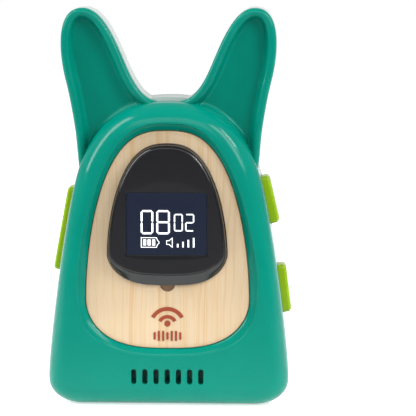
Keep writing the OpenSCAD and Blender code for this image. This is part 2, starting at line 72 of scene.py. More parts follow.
def face_of(node):
    """Depth of a CAD node's front face, in mm."""
    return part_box(node)[0].y / MM


# ---------------------------------------------------------------- outlines, in mm

def cubic(points, count):
    """Points on a cubic Bezier curve, as Bernstein weights times four control points."""
    t = np.linspace(0, 1, count + 1)[:, None]
    p = np.array(points, float)
    return (1 - t) ** 3 * p[0] + 3 * t * (1 - t) ** 2 * p[1] + 3 * t * t * (1 - t) * p[2] + t ** 3 * p[3]


def chain(*curves):
    """Joins curves end to end, without the doubled points."""
    return np.vstack([curves[0]] + [c[1:] for c in curves[1:]])


def mirrored(half):
    """Closes a right-hand half outline with its mirror image."""
    return np.vstack([half, half[-2:0:-1] * [-1, 1]])


def even(ring, count):
    """Resamples a closed outline to count points at even steps of arc length."""
    closed = np.vstack([ring, ring[:1]])
    run = np.concatenate([[0], np.cumsum(np.linalg.norm(np.diff(closed, axis=0), axis=1))])
    at = np.linspace(0, run[-1], count, endpoint=False)
    return np.stack([np.interp(at, run, closed[:, k]) for k in (0, 1)], axis=1)


def inset(ring, distance):
    """Moves a clockwise outline inwards along its normals, found from each point's neighbours."""
    run = np.roll(ring, -1, axis=0) - np.roll(ring, 1, axis=0)
    normal = np.stack([run[:, 1], -run[:, 0]], axis=1)
    return ring + distance * normal / np.linalg.norm(normal, axis=1, keepdims=True)


def egg(top, widest, bottom, half, p_up, q_up, p_low, q_low, count=160):
    """Egg outline: two super-ellipses, x = half cos(a)^(2/q) and z = widest + height sin(a)^(2/p)."""
    a = np.linspace(0, np.pi / 2, count)
    up = np.stack([half * np.cos(a) ** (2 / q_up), widest + (top - widest) * np.sin(a) ** (2 / p_up)], 1)
    drop = (widest - bottom) * np.sin(a) ** (2 / p_low)
    low = np.stack([half * np.cos(a) ** (2 / q_low), widest - drop], 1)
    return mirrored(chain(up[::-1], low))


def body_outline(rise):
    """The casing's outline: top arch raised by rise, long side, round corner, flat base."""
    half = chain(
        cubic([(0, 93.3 + rise), (11.4, 93.3 + rise), (20.3, 90 + rise), (26.7, 74)], 90),
        cubic([(26.7, 74), (31, 63.2), (36.9, 18.2), (36.9, 8)], 90),
        cubic([(36.9, 8), (36.9, 3.2), (32.5, 0), (26, 0)], 40),
        np.linspace((26, 0), (0, 0), 30),
    )
    return mirrored(half)


def ear_outline():
    """Right ear: from inside the body over its inner foot, up, over the tip and down outside."""
    ring = chain(
        cubic([(14, 82), (10, 88), (3.5, 91), (3.5, 92.65)], 24),
        cubic([(3.5, 92.65), (7.2, 93.5), (9.2, 96.1), (11, 99.4)], 30),
        cubic([(11, 99.4), (14.4, 105.4), (18.4, 121), (26.2, 121)], 60),
        cubic([(26.2, 121), (34.6, 121), (33.2, 106.5), (31.4, 99.4)], 60),
        cubic([(31.4, 99.4), (30.1, 94.3), (29.1, 88.4), (28.5, 84.2)], 24),
        cubic([(28.5, 84.2), (27.9, 80), (27.8, 75.5), (27.2, 71.5)], 24),
        cubic([(27.2, 71.5), (26, 66), (18, 74), (14, 82)], 30),
    )
    return even(ring[:-1], 300)


BODY = body_outline(-0.6)
REAR = body_outline(0.5)
RIM = egg(86.8, 39.2, 15.7, 27.35, 1.33, 2.84, 3.48, 2.38)
WOOD = egg(84.4, 33.0, 18.1, 24.8, 1.85, 2.8, 1.95, 2.9)
BEZEL = egg(80.7, 46.9, 37.6, 18.3, 1.78, 2.59, 1.62, 3.22)
BEZEL_FACE = egg(79.3, 47.6, 41.3, 16.9, 1.78, 2.59, 1.62, 3.1)


def from_centre(ring, count):
    """Resamples a star-shaped outline to even angles about CENTRE, clockwise from the top."""
    rel = even(ring, 1600) - CENTRE
    angle = np.unwrap(np.arctan2(rel[:, 0], rel[:, 1]))
    angle, reach = np.append(angle, angle[0] + 2 * np.pi), np.hypot(*rel.T)
    at = np.linspace(0, 2 * np.pi, count, endpoint=False)
    r = np.interp(at, angle, np.append(reach, reach[0]), period=2 * np.pi)
    return CENTRE + r[:, None] * np.stack([np.sin(at), np.cos(at)], axis=1)


def edge_distance(points, ring):
    """Least distance of each point from a closed outline, over all of its segments."""
    a, b = ring, np.roll(ring, -1, axis=0)
    ab = b - a
    flat = points.reshape(-1, 2)
    ap = flat[:, None] - a
    t = np.clip((ap * ab).sum(-1) / np.maximum((ab * ab).sum(-1), 1e-12), 0, 1)
    return np.linalg.norm(ap - t[..., None] * ab, axis=-1).min(1).reshape(points.shape[:-1])


def outside(points, ring):
    """True where a point lies outside a star-shaped outline."""
    rel, edge = points - CENTRE, ring - CENTRE
    angle = np.arctan2(edge[:, 0], edge[:, 1])
    order = np.argsort(angle)
    reach = np.interp(np.arctan2(rel[..., 0], rel[..., 1]), angle[order],
                      np.hypot(*edge.T)[order], period=2 * np.pi)
    return np.hypot(rel[..., 0], rel[..., 1]) > reach


# ---------------------------------------------------------------- meshes

def place(rings, depths):
    """Turns x-z outlines (rings, count, 2) and depths into points (rings, count, 3), in mm."""
    depths = np.broadcast_to(np.asarray(depths, float), rings.shape[:2])
    return np.stack([rings[..., 0], depths, rings[..., 1]], axis=-1)


def volume(verts, faces):
    """Signed volume of a closed mesh, from the triangles of its faces."""
    total = 0.0
    for size in {len(f) for f in faces}:
        f = np.array([q for q in faces if len(q) == size])
        for k in range(1, size - 1):
            total += np.einsum("ij,ij->", verts[f[:, 0]], np.cross(verts[f[:, k]], verts[f[:, k + 1]]))
    return total


def skin(points, close_ends=True, wrap=False):
    """Quads over a grid of rings (rings, count, 3), with a pole at each end or wrapped round."""
    rings, count = points.shape[:2]
    verts = points.reshape(-1, 3)
    r, c = np.meshgrid(np.arange(rings if wrap else rings - 1), np.arange(count), indexing="ij")
    r2, c2 = (r + 1) % rings, (c + 1) % count
    faces = np.stack([r * count + c, r * count + c2, r2 * count + c2, r2 * count + c], -1)
    faces = faces.reshape(-1, 4).tolist()
    if close_ends and not wrap:
        for ring, start in ((points[0], 0), (points[-1], (rings - 1) * count)):
            pole = len(verts)
            verts = np.vstack([verts, ring.mean(0)])
            k = np.arange(count)
            fan = np.stack([start + (k + 1) % count, start + k, np.full(count, pole)], -1)
            faces += (fan if start == 0 else fan[:, [1, 0, 2]]).tolist()
    if volume(verts, faces) < 0:
        faces = [f[::-1] for f in faces]
    return verts, faces


def merge(*parts):
    """Puts several (verts, faces) into one."""
    verts, faces, start = [], [], 0
    for v, f in parts:
        verts.append(v)
        faces += [[i + start for i in q] for q in f]
        start += len(v)
    return np.vstack(verts), faces


def to_object(name, part):
    """A linked object, smooth shaded, from points in mm."""
    verts, faces = part
    mesh = bpy.data.meshes.new(name)
    mesh.from_pydata((np.asarray(verts) * MM).tolist(), [], faces)
    mesh.update()
    mesh.shade_smooth()
    obj = bpy.data.objects.new(name, mesh)
    bpy.context.scene.collection.objects.link(obj)
    return obj


def apply_modifiers(obj):
    """Replaces an object's mesh by the one its modifiers give."""
    graph = bpy.context.evaluated_depsgraph_get()
    result = bpy.data.meshes.new_from_object(obj.evaluated_get(graph))
    obj.modifiers.clear()
    old, obj.data = obj.data, result
    bpy.data.meshes.remove(old)


def carve(obj, part, operation):
    """Exact boolean of a closed mesh and a closed part, whose own object is used up."""
    tool = to_object("tool", part)
    change = obj.modifiers.new("carve", "BOOLEAN")
    change.object, change.operation, change.solver = tool, operation, "EXACT"
    apply_modifiers(obj)
    bpy.data.objects.remove(tool)
    return obj


def crisp(obj, degrees=32):
    """Smooth shading that stays sharp across edges steeper than the given angle."""
    obj.data.shade_smooth()
    obj.data.set_sharp_from_angle(angle=math.radians(degrees))
    return obj


def finish_piece(obj, body, material, slot, *nodes):
    """Dresses a piece, makes it ride on its body and stand for its CAD nodes."""
    obj.data.materials.clear()
    obj.data.materials.append(material)
    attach(obj, body)
    if nodes:
        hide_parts(*nodes)
    return obj


def loft(rings, depths, wrap=False):
    """Skin over outlines that each lie at one depth."""
    return skin(place(np.stack(rings), np.array(depths)[:, None]), wrap=wrap)


def round_rect(x, z, width, height, radius, corner=8):
    """Rectangle with quarter-circle corners, clockwise."""
    a = np.linspace(0, np.pi / 2, corner)
    w, h = width / 2 - radius, height / 2 - radius
    corners = [(w, h, np.pi / 2 - a), (w, -h, -a), (-w, -h, -np.pi / 2 - a), (-w, h, np.pi - a)]
    return np.vstack([
        np.stack([x + cx + radius * np.cos(b), z + cz + radius * np.sin(b)], 1) for cx, cz, b in corners
    ])


def prism(ring, near, far, soft=0.0, steps=5):
    """Outline extruded from depth near to depth far, its near edge rounded by soft."""
    if soft:
        a = np.linspace(0, np.pi / 2, steps)
        sign = np.sign(far - near)
        rings = [inset(ring, soft * (1 - math.sin(b))) for b in a] + [ring]
        depths = [near + sign * soft * (1 - math.cos(b)) for b in a] + [far]
    else:
        rings, depths = [ring, ring], [near, far]
    return loft(rings, depths)


def peg(x, z, radius, near, far, count=48):
    """Cylinder along the depth axis."""
    a = -np.linspace(0, 2 * np.pi, count, endpoint=False)
    return prism(np.stack([x + radius * np.cos(a), z + radius * np.sin(a)], 1), near, far)


def round_box(low, high, radius, steps=7):
    """Box with round edges: a latitude and longitude ball whose eight parts are moved apart.

    A ball of the radius is sampled in quarter turns, and each sample is pushed to its corner."""
    low, high = np.array(low, float), np.array(high, float)
    quarter = np.linspace(0, np.pi / 2, steps)
    around = np.concatenate([quarter + k * np.pi / 2 for k in range(4)])
    up = np.concatenate([quarter - np.pi / 2, quarter])
    up[0], up[-1] = up[0] + 1e-3, up[-1] - 1e-3
    v, u = np.meshgrid(up, around, indexing="ij")
    unit = np.stack([np.cos(v) * np.cos(u), np.cos(v) * np.sin(u), np.sin(v)], -1)
    side_u = np.repeat(np.array([[1, 1], [-1, 1], [-1, -1], [1, -1]]), steps, axis=0)
    push = np.concatenate([np.broadcast_to(side_u, v.shape + (2,)),
                           np.repeat([-1, 1], steps)[:, None, None] * np.ones(v.shape + (1,))], -1)
    middle, half = (low + high) / 2, (high - low) / 2
    return skin(middle + push * (half - radius) + unit * radius)


def seat(part, x, z, lean, side=1):
    """Moves a part from a side seat's own axes (outwards, depth, along) to the casing's."""
    verts, faces = part
    c, s = math.cos(math.radians(lean)), math.sin(math.radians(lean))
    out, depth, along = verts.T
    moved = np.stack([side * (x + out * c - along * s), depth, z + out * s + along * c], 1)
    return moved, faces if side > 0 else [f[::-1] for f in faces]


UPPER_SEAT = (29.84, 62.1, 13.5)
LOWER_SEAT = (34.26, 34.65, 7.7)
TALK_SEAT = (31.6, 53.0, 10.5)


# ---------------------------------------------------------------- materials

class Flow:
    """A node's output. Arithmetic on it adds Math nodes to its recipe."""

    def __init__(self, recipe, socket):
        self.recipe, self.socket = recipe, socket

    def math(self, operation, *values):
        return self.recipe.node("ShaderNodeMath", {"operation": operation}, dict(enumerate(values)))

    def __add__(self, other):
        return self.math("ADD", self, other)

    def __sub__(self, other):
        return self.math("SUBTRACT", self, other)

    def __rsub__(self, other):
        return self.math("SUBTRACT", other, self)

    def __mul__(self, other):
        return self.math("MULTIPLY", self, other)

    __radd__, __rmul__ = __add__, __mul__


class Recipe:
    """A material being made: its nodes, and one Principled shader that constants are set on."""

    def __init__(self, name, **constants):
        self.material = bpy.data.materials.new(name)
        self.material.use_nodes = True
        tree = self.material.node_tree
        self.nodes, self.links = tree.nodes, tree.links
        self.shader = self.nodes["Principled BSDF"]
        for socket, value in constants.items():
            self.shader.inputs[socket.replace("_", " ")].default_value = value

    def feed(self, socket, value):
        if isinstance(value, Flow):
            self.links.new(value.socket, socket)
        else:
            socket.default_value = value

    def node(self, kind, settings=None, inputs=None, output=0):
        made = self.nodes.new(kind)
        for key, value in (settings or {}).items():
            if key == "stops":
                while len(made.color_ramp.elements) < len(value):
                    made.color_ramp.elements.new(0.5)
                for element, (at, colour) in zip(made.color_ramp.elements, value):
                    element.position, element.color = at, colour
            else:
                setattr(made, key, value)
        for key, value in (inputs or {}).items():
            self.feed(made.inputs[key], value)
        return Flow(self, made.outputs[output])

    def position(self, scale=(1, 1, 1)):
        """Object coordinates in metres, times a scale on each axis."""
        where = self.node("ShaderNodeTexCoord", output="Object")
        return self.node("ShaderNodeMapping", {}, {"Vector": where, "Scale": scale})

    def noise(self, size, detail=3.0, roughness=0.5, stretch=(1, 1, 1), distortion=0.0):
        """Noise from 0 to 1 whose grain is about size metres, stretched along the axes."""
        scale = tuple(s / size for s in stretch)
        return self.node("ShaderNodeTexNoise", {}, {
            "Vector": self.position(scale), "Scale": 1.0, "Detail": detail,
            "Roughness": roughness, "Distortion": distortion})

    def ramp(self, factor, *stops):
        return self.node("ShaderNodeValToRGB", {"stops": [(at, tuple(c) + (1,)) for at, c in stops]},
                         {"Fac": factor})

    def step(self, factor, low, high):
        """Ramp from black at low to white at high."""
        return self.ramp(factor, (low, (0, 0, 0)), (high, (1, 1, 1)))

    def mix(self, factor, first, second, blend="MIX"):
        made = self.nodes.new("ShaderNodeMix")
        made.data_type, made.blend_type = "RGBA", blend
        self.feed(made.inputs[0], factor)
        self.feed(made.inputs[6], first if isinstance(first, Flow) else tuple(first) + (1,))
        self.feed(made.inputs[7], second if isinstance(second, Flow) else tuple(second) + (1,))
        return Flow(self, made.outputs[2])

    def drive(self, colour=None, roughness=None, bump=None, strength=0.1, depth=0.0001):
        """Feeds the shader's colour, roughness and a bump of the given depth in metres."""
        if colour is not None:
            self.feed(self.shader.inputs["Base Color"], colour)
        if roughness is not None:
            self.feed(self.shader.inputs["Roughness"], roughness)
        if bump is not None:
            made = self.node("ShaderNodeBump", {}, {"Height": bump, "Strength": strength, "Distance": depth})
            self.feed(self.shader.inputs["Normal"], made)
        return self.material


def shade(colour, factor):
    """A colour times a factor."""
    return tuple(min(1.0, c * factor) for c in colour)


def moulded(name, colour, roughness=0.25, gloss=0.2, grain=0.02):
    """Moulded plastic: faint clouds in its colour and gloss, and a very fine moulding texture."""
    recipe = Recipe(name, Specular_IOR_Level=gloss)
    cloud = recipe.noise(0.012, 4)
    fine = recipe.noise(0.0006, 2)
    tint = recipe.ramp(cloud, (0.3, shade(colour, 0.97)), (0.7, shade(colour, 1.03)))
    return recipe.drive(tint, roughness + (cloud - 0.5) * 0.08 + (fine - 0.5) * grain, fine, 0.05, 0.00003)


def maple(name, pale, line, dark):
    """Maple veneer: fine upright fibres, wandering darker growth lines, small flecks, and edges darkened by
    painted shade with some scorch.
    """
    recipe = Recipe(name, Specular_IOR_Level=0.25)
    wander = recipe.noise(0.018, 2, stretch=(1, 1, 0.35))
    x = recipe.node("ShaderNodeSeparateXYZ", {}, {"Vector": recipe.position()}, 0)
    across = x * 190.0 + wander * 1.3
    rings = recipe.node("ShaderNodeTexNoise", {"noise_dimensions": "1D"},
                        {"W": across, "Scale": 2.6, "Detail": 4.0, "Roughness": 0.66})
    growth = recipe.ramp(rings, (0.52, (0, 0, 0)), (0.60, (1, 1, 1)), (0.66, (0, 0, 0)))
    fibre = recipe.noise(0.0011, 4, 0.6, (1, 1, 0.045))
    fleck = recipe.noise(0.0022, 3, 0.6, (1, 1, 0.22))
    broad = recipe.noise(0.014, 2, 0.5, (1, 1, 0.3))
    base = recipe.mix(recipe.step(broad, 0.35, 0.7), pale, shade(pale, 0.9))
    lined = recipe.mix(growth * 0.7, base, line)
    fibred = recipe.mix(recipe.step(fibre, 0.48, 0.75) * 0.42, lined, line)
    flecked = recipe.mix(recipe.step(fleck, 0.60, 0.74) * 0.22, fibred, dark)
    # painted shade, partly scorch: a point attribute darkens the wood towards its edges, where the casing's
    # bevel shades it
    burnish = recipe.node("ShaderNodeAttribute", {"attribute_name": "burnish"}, output=2)
    tint = recipe.mix(burnish * 0.45, flecked, dark)
    return recipe.drive(tint, 0.42 + (fibre - 0.5) * 0.25, fibre, 0.18, 0.00006)


def black_gloss(name, colour):
    """Deep black polished plastic with the faintest haze."""
    recipe = Recipe(name, Specular_IOR_Level=0.4)
    haze = recipe.noise(0.006, 3)
    tint = recipe.mix(haze, shade(colour, 0.85), shade(colour, 1.15))
    return recipe.drive(tint, 0.12 + haze * 0.08, haze, 0.02, 0.00002)


def display_glass(name, colour, glow):
    """Dark display behind its pane: navy, a fine dot raster and a faint even glow."""
    recipe = Recipe(name, Specular_IOR_Level=0.12, Emission_Strength=glow)
    raster = recipe.node("ShaderNodeTexChecker", {}, {"Vector": recipe.position(), "Scale": 5200.0}, 1)
    cloud = recipe.noise(0.01, 2)
    tint = recipe.mix(raster * 0.2 + cloud * 0.3, shade(colour, 0.88), shade(colour, 1.14))
    recipe.feed(recipe.shader.inputs["Emission Color"], tint)
    return recipe.drive(tint, 0.16 + cloud * 0.06)


def lit(name, colour, strength):
    """Lit display characters, slightly uneven."""
    recipe = Recipe(name, Emission_Strength=strength)
    cloud = recipe.noise(0.004, 2)
    tint = recipe.mix(cloud, shade(colour, 0.96), colour)
    recipe.feed(recipe.shader.inputs["Emission Color"], tint)
    return recipe.drive(tint, 0.4 + cloud * 0.1)


def metal(name, colour, roughness=0.3, brushed=(1, 1, 1)):
    """Plated or brushed metal with fine stretched scratches."""
    recipe = Recipe(name, Metallic=1.0)
    scratch = recipe.noise(0.0005, 4, 0.6, brushed)
    cloud = recipe.noise(0.004, 3)
    tint = recipe.mix(cloud, shade(colour, 0.86), shade(colour, 1.06))
    return recipe.drive(tint, roughness + (scratch - 0.5) * 0.25, scratch, 0.12, 0.00003)


def board_mask(name, colour):
    """Green solder mask over copper tracks, which follow the edges of Voronoi cells."""
    recipe = Recipe(name, Coat_Weight=0.3, Coat_Roughness=0.1)
    wander = recipe.noise(0.006, 1)
    tracks = recipe.node("ShaderNodeTexVoronoi", {"feature": "DISTANCE_TO_EDGE"},
                         {"Vector": recipe.position(), "Scale": 420.0})
    line = recipe.ramp(tracks, (0.03, (1, 1, 1)), (0.06, (0, 0, 0)))
    tint = recipe.mix(line * 0.5 + wander * 0.2, colour, shade(colour, 2.0))
    return recipe.drive(tint, 0.3 + wander * 0.1, line, 0.2, 0.00004)


def cell_wrap(name, dark, bright):
    """Printed cell wrap: a dark sleeve with a bright band at its lower end."""
    recipe = Recipe(name, Coat_Weight=0.4, Coat_Roughness=0.1)
    z = recipe.node("ShaderNodeSeparateXYZ", {}, {"Vector": recipe.position()}, 2)
    band = recipe.ramp(z * 20.0, (0.36, (1, 1, 1)), (0.38, (0, 0, 0)))
    cloud = recipe.noise(0.003, 2)
    return recipe.drive(recipe.mix(band, dark, bright), 0.25 + cloud * 0.1, cloud, 0.03, 0.00002)


def matt(name, colour, size=0.0008, roughness=0.6):
    """Plain matt surface with a fine tooth, for paper, rubber and moulded blocks."""
    recipe = Recipe(name)
    tooth = recipe.noise(size, 4, 0.6)
    tint = recipe.mix(tooth, shade(colour, 0.85), shade(colour, 1.15))
    return recipe.drive(tint, roughness + (tooth - 0.5) * 0.2, tooth, 0.2, 0.00005)


def sweep_paper(name, pale, front, glow):
    """Studio paper: pale, with a faint painted glow under and behind the object, and painted shade that
    makes it greyer far in front of it.
    """
    recipe = Recipe(name, Roughness=0.8, Emission_Strength=glow)
    y = recipe.node("ShaderNodeSeparateXYZ", {}, {"Vector": recipe.position()}, 1)
    # mask along the depth: painted glow and the pale colour behind, painted shade in front
    back = recipe.step(y * 6.0 + 1.0, 0.1, 0.92)
    tooth = recipe.noise(0.004, 3)
    tint = recipe.mix(back, shade(pale, front), pale)
    recipe.feed(recipe.shader.inputs["Emission Color"], back)
    return recipe.drive(tint, 0.75 + tooth * 0.1)


# ---------------------------------------------------------------- settings

def colour_property(name, description, default):
    return FloatVectorProperty(name=name, description=description, default=default, subtype="COLOR",
                               size=3, min=0, max=1)


class CasingSettings(bpy.types.PropertyGroup):
    """Sizes of the casing's rounded parts."""
    round_width: FloatProperty(name="Edge rounding", default=6.3 * MM, unit="LENGTH",
                               description="Width of the rounding between face and side")
    side_depth: FloatProperty(name="Straight side", default=9.0 * MM, unit="LENGTH",
                              description="Depth at which the straight side ends")
    lip: FloatProperty(name="Ear lip", default=2.7 * MM, unit="LENGTH",
                       description="Width of the raised lip around each ear's dish")
    fillet: FloatProperty(name="Ear fillet", default=1.3 * MM, unit="LENGTH",
                          description="Radius of the fillet between an ear's dish and the body")
    around: IntProperty(name="Points around", default=400, min=64,
                        description="Points of the casing's outline")


class ColourSettings(bpy.types.PropertyGroup):
    """Base colours of the visible finishes."""
    green: colour_property("Green casing", "Glossy front casing", (0.0, 0.176, 0.128))
    white: colour_property("White casing", "Rear casing, door and clip", (0.41, 0.465, 0.445))
    lime: colour_property("Lime buttons", "Side buttons, talk key and switch", (0.19, 0.32, 0.002))
    wood: colour_property("Pale wood", "Ground colour of the maple", (0.57, 0.445, 0.295))
    wood_line: colour_property("Wood lines", "Growth lines of the maple", (0.5, 0.31, 0.14))
    # also the colour of the painted edge shade on the maple plate
    wood_dark: colour_property("Wood flecks", "Flecks of the maple", (0.42, 0.26, 0.14))
    black: colour_property("Bezel", "Polished bezel", (0.0045, 0.0046, 0.0062))
    navy: colour_property("Display", "Display ground", (0.010, 0.014, 0.028))
    glyph: colour_property("Characters", "Lit characters", (0.92, 0.94, 1.0))
    mark: colour_property("Mark", "Print on the wood", (0.24, 0.031, 0.003))


class StageSettings(bpy.types.PropertyGroup):
    """Camera and lights."""
    azimuth: FloatProperty(name="Azimuth", default=math.radians(2.3), subtype="ANGLE",
                           description="Camera's turn to the right of the front")
    elevation: FloatProperty(name="Elevation", default=math.radians(7), subtype="ANGLE",
                             description="Camera's height above the horizon")
    distance: FloatProperty(name="Distance", default=0.7, unit="LENGTH",
                            description="Camera's distance from the point it looks at")
    width: FloatProperty(name="View width", default=126.06 * MM, unit="LENGTH",
                         description="Width of the view at the point looked at")
    target: FloatVectorProperty(name="Looks at", default=(12.2 * MM, -12 * MM, 60.72 * MM),
                                subtype="XYZ", unit="LENGTH", description="Point the camera looks at")
    key: FloatProperty(name="Key light", default=6.0, description="Power of the upper left strip, W")
    rim: FloatProperty(name="Rim light", default=1.8, description="Power of the narrow right strip, W")
    side: FloatProperty(name="Side light", default=2.6, description="Power of the soft right light, W")
    fill: FloatProperty(name="Fill light", default=3.4, description="Power of the large front light, W")
    sky: FloatProperty(name="Sky", default=1.0, description="Strength of the pale surroundings behind")
    front_sky: FloatProperty(name="Front sky", default=0.4, description="Surroundings in front of it")


# ---------------------------------------------------------------- casing shapes

def dome_depth(distance, settings, face):
    """Depth over the rounding: an ellipse from the straight side up to the face."""
    r, side = settings.round_width / MM, settings.side_depth / MM
    t = np.clip(distance / r, 0, 1)
    rise = np.sqrt(np.clip(1 - (1 - t) ** 2, 0, 1))
    return np.sign(face) * (side + (abs(face) - side) * rise)


def body_solid(settings, face, profile, outline):
    """Closed body half: parting plane, straight side, rounding, and a profile of inner rings.

    Rings run from the outline towards the profile's first outline by t = (k / n) squared, so they
    crowd where the surface turns. Depth comes from the distance to the outline."""
    count = settings.around
    outer = from_centre(outline, count)
    first = profile[0][0]
    t = (np.linspace(0, 1, 44) ** 2)[:, None, None]
    rings = outer * (1 - t) + first * t
    depth = dome_depth(edge_distance(rings, outline), settings, face)
    depth[0] = np.sign(face) * settings.side_depth / MM
    points = [place(outer[None], PARTING), place(rings, depth)]
    for ring, level in profile[1:]:
        points.append(place(ring[None], level))
    return skin(np.concatenate(points))


def hollow(settings, face, wall=2.0):
    """Closed core that hollows a body half: the outline less the wall, with a rounded end."""
    count = settings.around // 2
    side = np.sign(face) * settings.side_depth / MM
    rings, depths = [], []
    ends = [(wall, PARTING - np.sign(face)), (wall, side)]
    for a in np.linspace(0.25, np.pi / 2, 6):
        ends.append((wall + CORE_ROUND * (1 - math.cos(a)),
                     side + np.sign(face) * (abs(face) - abs(side) - wall) * math.sin(a)))
    for distance, depth in ends:
        rings.append(from_centre(inset(even(BODY, 600), distance), count))
        depths.append(depth)
    return loft(rings, depths)


def quarter(radius, inside):
    """Height of a quarter circle at a distance inside its outer end."""
    return np.sqrt(np.clip(radius ** 2 - (radius - inside) ** 2, 0, None))


def ear_rings(t):
    """Rings from the ear's outline, scaled towards a point in its middle."""
    t = t[:, None, None]
    return ear_outline() * (1 - t) + EAR_MIDDLE * t


def ear_front(settings):
    """Right ear's green front: side wall, round lip, and a flat sunken dish.

    The lip is a half circle over the distance from the ear's outline. Near the body the dish
    rises in a quarter-circle fillet over the distance from the body's outline."""
    rings = ear_rings(np.append(np.linspace(0, 1, 60)[:-1] ** 1.5, EAR_END))
    inside = edge_distance(rings, ear_outline())
    inside[0] = 0
    radius = settings.lip / MM / 2
    base = EAR_CREST + radius
    lip = base - quarter(radius, inside)
    inner = np.clip((inside - 2 * radius) / 1.2, 0, 1)
    dish = base + DISH_DEPTH * np.sin(inner * np.pi / 2)
    depth = np.where(inside < 2 * radius, lip, dish)
    rho = settings.fillet / MM
    away = np.where(outside(rings, BODY), np.minimum(edge_distance(rings, BODY), rho), 0)
    lift = rho - quarter(rho, away)
    depth = np.where(inside < 2 * radius, depth, depth - lift)
    return skin(np.concatenate([place(rings[:1], PARTING), place(rings, depth)]))


def ear_back(soft=2.2, back=9.0):
    """Right ear's white back: straight side and a back edge rounded by a quarter circle."""
    rings = ear_rings(np.append(np.linspace(0, 1, 24)[:-1] ** 2, EAR_END))
    inside = np.minimum(edge_distance(rings, ear_outline()), soft)
    inside[0] = 0
    depth = back - soft + quarter(soft, inside)
    return skin(np.concatenate([place(rings[:1], PARTING), place(rings, depth)]))


def other_side(part):
    """Mirrors a part to the left."""
    verts, faces = part
    return verts * [-1, 1, 1], [f[::-1] for f in faces]


class WALKIE_OT_front_casing(bpy.types.Operator):
    """Glossy green front casing: rounded ring, stepped bevel, pocket, ears with hollow dishes"""
    bl_idname = "walkie.front_casing"
    bl_label = "Front casing"

    def execute(self, context):
        settings, colours = context.scene.walkie_casing, context.scene.walkie_colours
        count, face, wood = settings.around, face_of("front_shell"), face_of("wood_faceplate")
        rim, edge = from_centre(RIM, count), from_centre(inset(WOOD, -0.15), count)
        profile = [(rim, face)]
        steps = ((0.015, 0.03), (0.12, 0.5), (0.15, 0.54), (0.28, 0.66), (0.5, 0.98), (0.75, 1.4),
                 (0.94, 1.75))
        for t, drop in steps:
            profile.append((rim * (1 - t) + edge * t, face + drop))
        profile += [(edge, wood + 0.25), (edge, wood + 3)]
        obj = to_object("green_casing", body_solid(settings, face, profile, BODY))
        for part in (ear_front(settings), other_side(ear_front(settings))):
            carve(obj, part, "UNION")
        carve(obj, hollow(settings, -14.0), "DIFFERENCE")
        floor = prism(from_centre(inset(WOOD, -2.2), 200), wood + 2.9, wood + 5)
        cuts = [prism(round_rect(0, 56.7, 24, 16, 1), wood + 2, wood + 6),
                peg(0, MIC_HEIGHT, 1, wood + 2, wood + 6)]
        cuts += [prism(round_rect(3.4 * i, 9.6, 1.6, 4.6, 0.7), face - 1, face + 5) for i in range(-3, 4)]
        carve(obj, floor, "UNION")
        carve(obj, merge(*cuts), "DIFFERENCE")
        finish_piece(crisp(obj), "casing", moulded("green_plastic", colours.green, 0.15, 0.13),
                     "green_casing", "front_shell")
        return {"FINISHED"}


class WALKIE_OT_rear_casing(bpy.types.Operator):
    """White rear casing: rounded back, battery bay, button windows, screw wells, switch slot"""
    bl_idname = "walkie.rear_casing"
    bl_label = "Rear casing"

    def execute(self, context):
        settings, colours = context.scene.walkie_casing, context.scene.walkie_colours
        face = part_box("rear_shell")[1].y / MM
        middle = CENTRE + (from_centre(REAR, settings.around) - CENTRE) * 0.02
        obj = to_object("white_casing", body_solid(settings, face, [(middle, face)], REAR))
        for part in (ear_back(), other_side(ear_back())):
            carve(obj, part, "UNION")
        carve(obj, hollow(settings, face), "DIFFERENCE")
        tub = prism(round_rect(0, 29.6, 37, 49.8, 1), 0.7, face - 1)
        ledge = prism(round_rect(0, 32.5, 38, 58, 2), face - 3.2, face - 1)
        carve(obj, tub, "UNION")
        carve(obj, ledge, "UNION")
        cuts = [prism(round_rect(0, 29.6, 34, 46.8, 0.5), 2.2, face + 1),
                prism(round_rect(0, 32.75, 36.6, 55.1, 3), face - 2, face + 2),
                prism(round_rect(25, 42, 5, 12, 1.2), face - 0.8, face + 3),
                prism(round_rect(25, 42, 2.6, 7.2, 0.6), face - 5, face + 1),
                peg(0, 56.6, 1.6, face - 7, face)]
        for side in (-1, 1):
            cuts.append(prism(round_rect(side * 10, 5.05, 6.4, 3.9, 0.3), face - 4.8, face - 1.99))
            for x, z in CASE_SCREWS:
                cuts.append(peg(side * x, z, 2.6, 4, face + 1))
        for tool in cuts:
            carve(obj, tool, "DIFFERENCE")
        for spot, side, length in ((UPPER_SEAT, 1, SHORT_BUTTON), (LOWER_SEAT, 1, SHORT_BUTTON),
                                   (TALK_SEAT, -1, TALK_LENGTH)):
            window = round_box((-6, PARTING - 3, -length / 2 - 0.3), (6, 5.0, length / 2 + 0.3), 0.6, 4)
            carve(obj, seat(window, *spot, side), "DIFFERENCE")
        finish_piece(crisp(obj), "casing", moulded("white_plastic", colours.white, 0.3, 0.25),
                     "white_casing", "rear_shell")
        return {"FINISHED"}


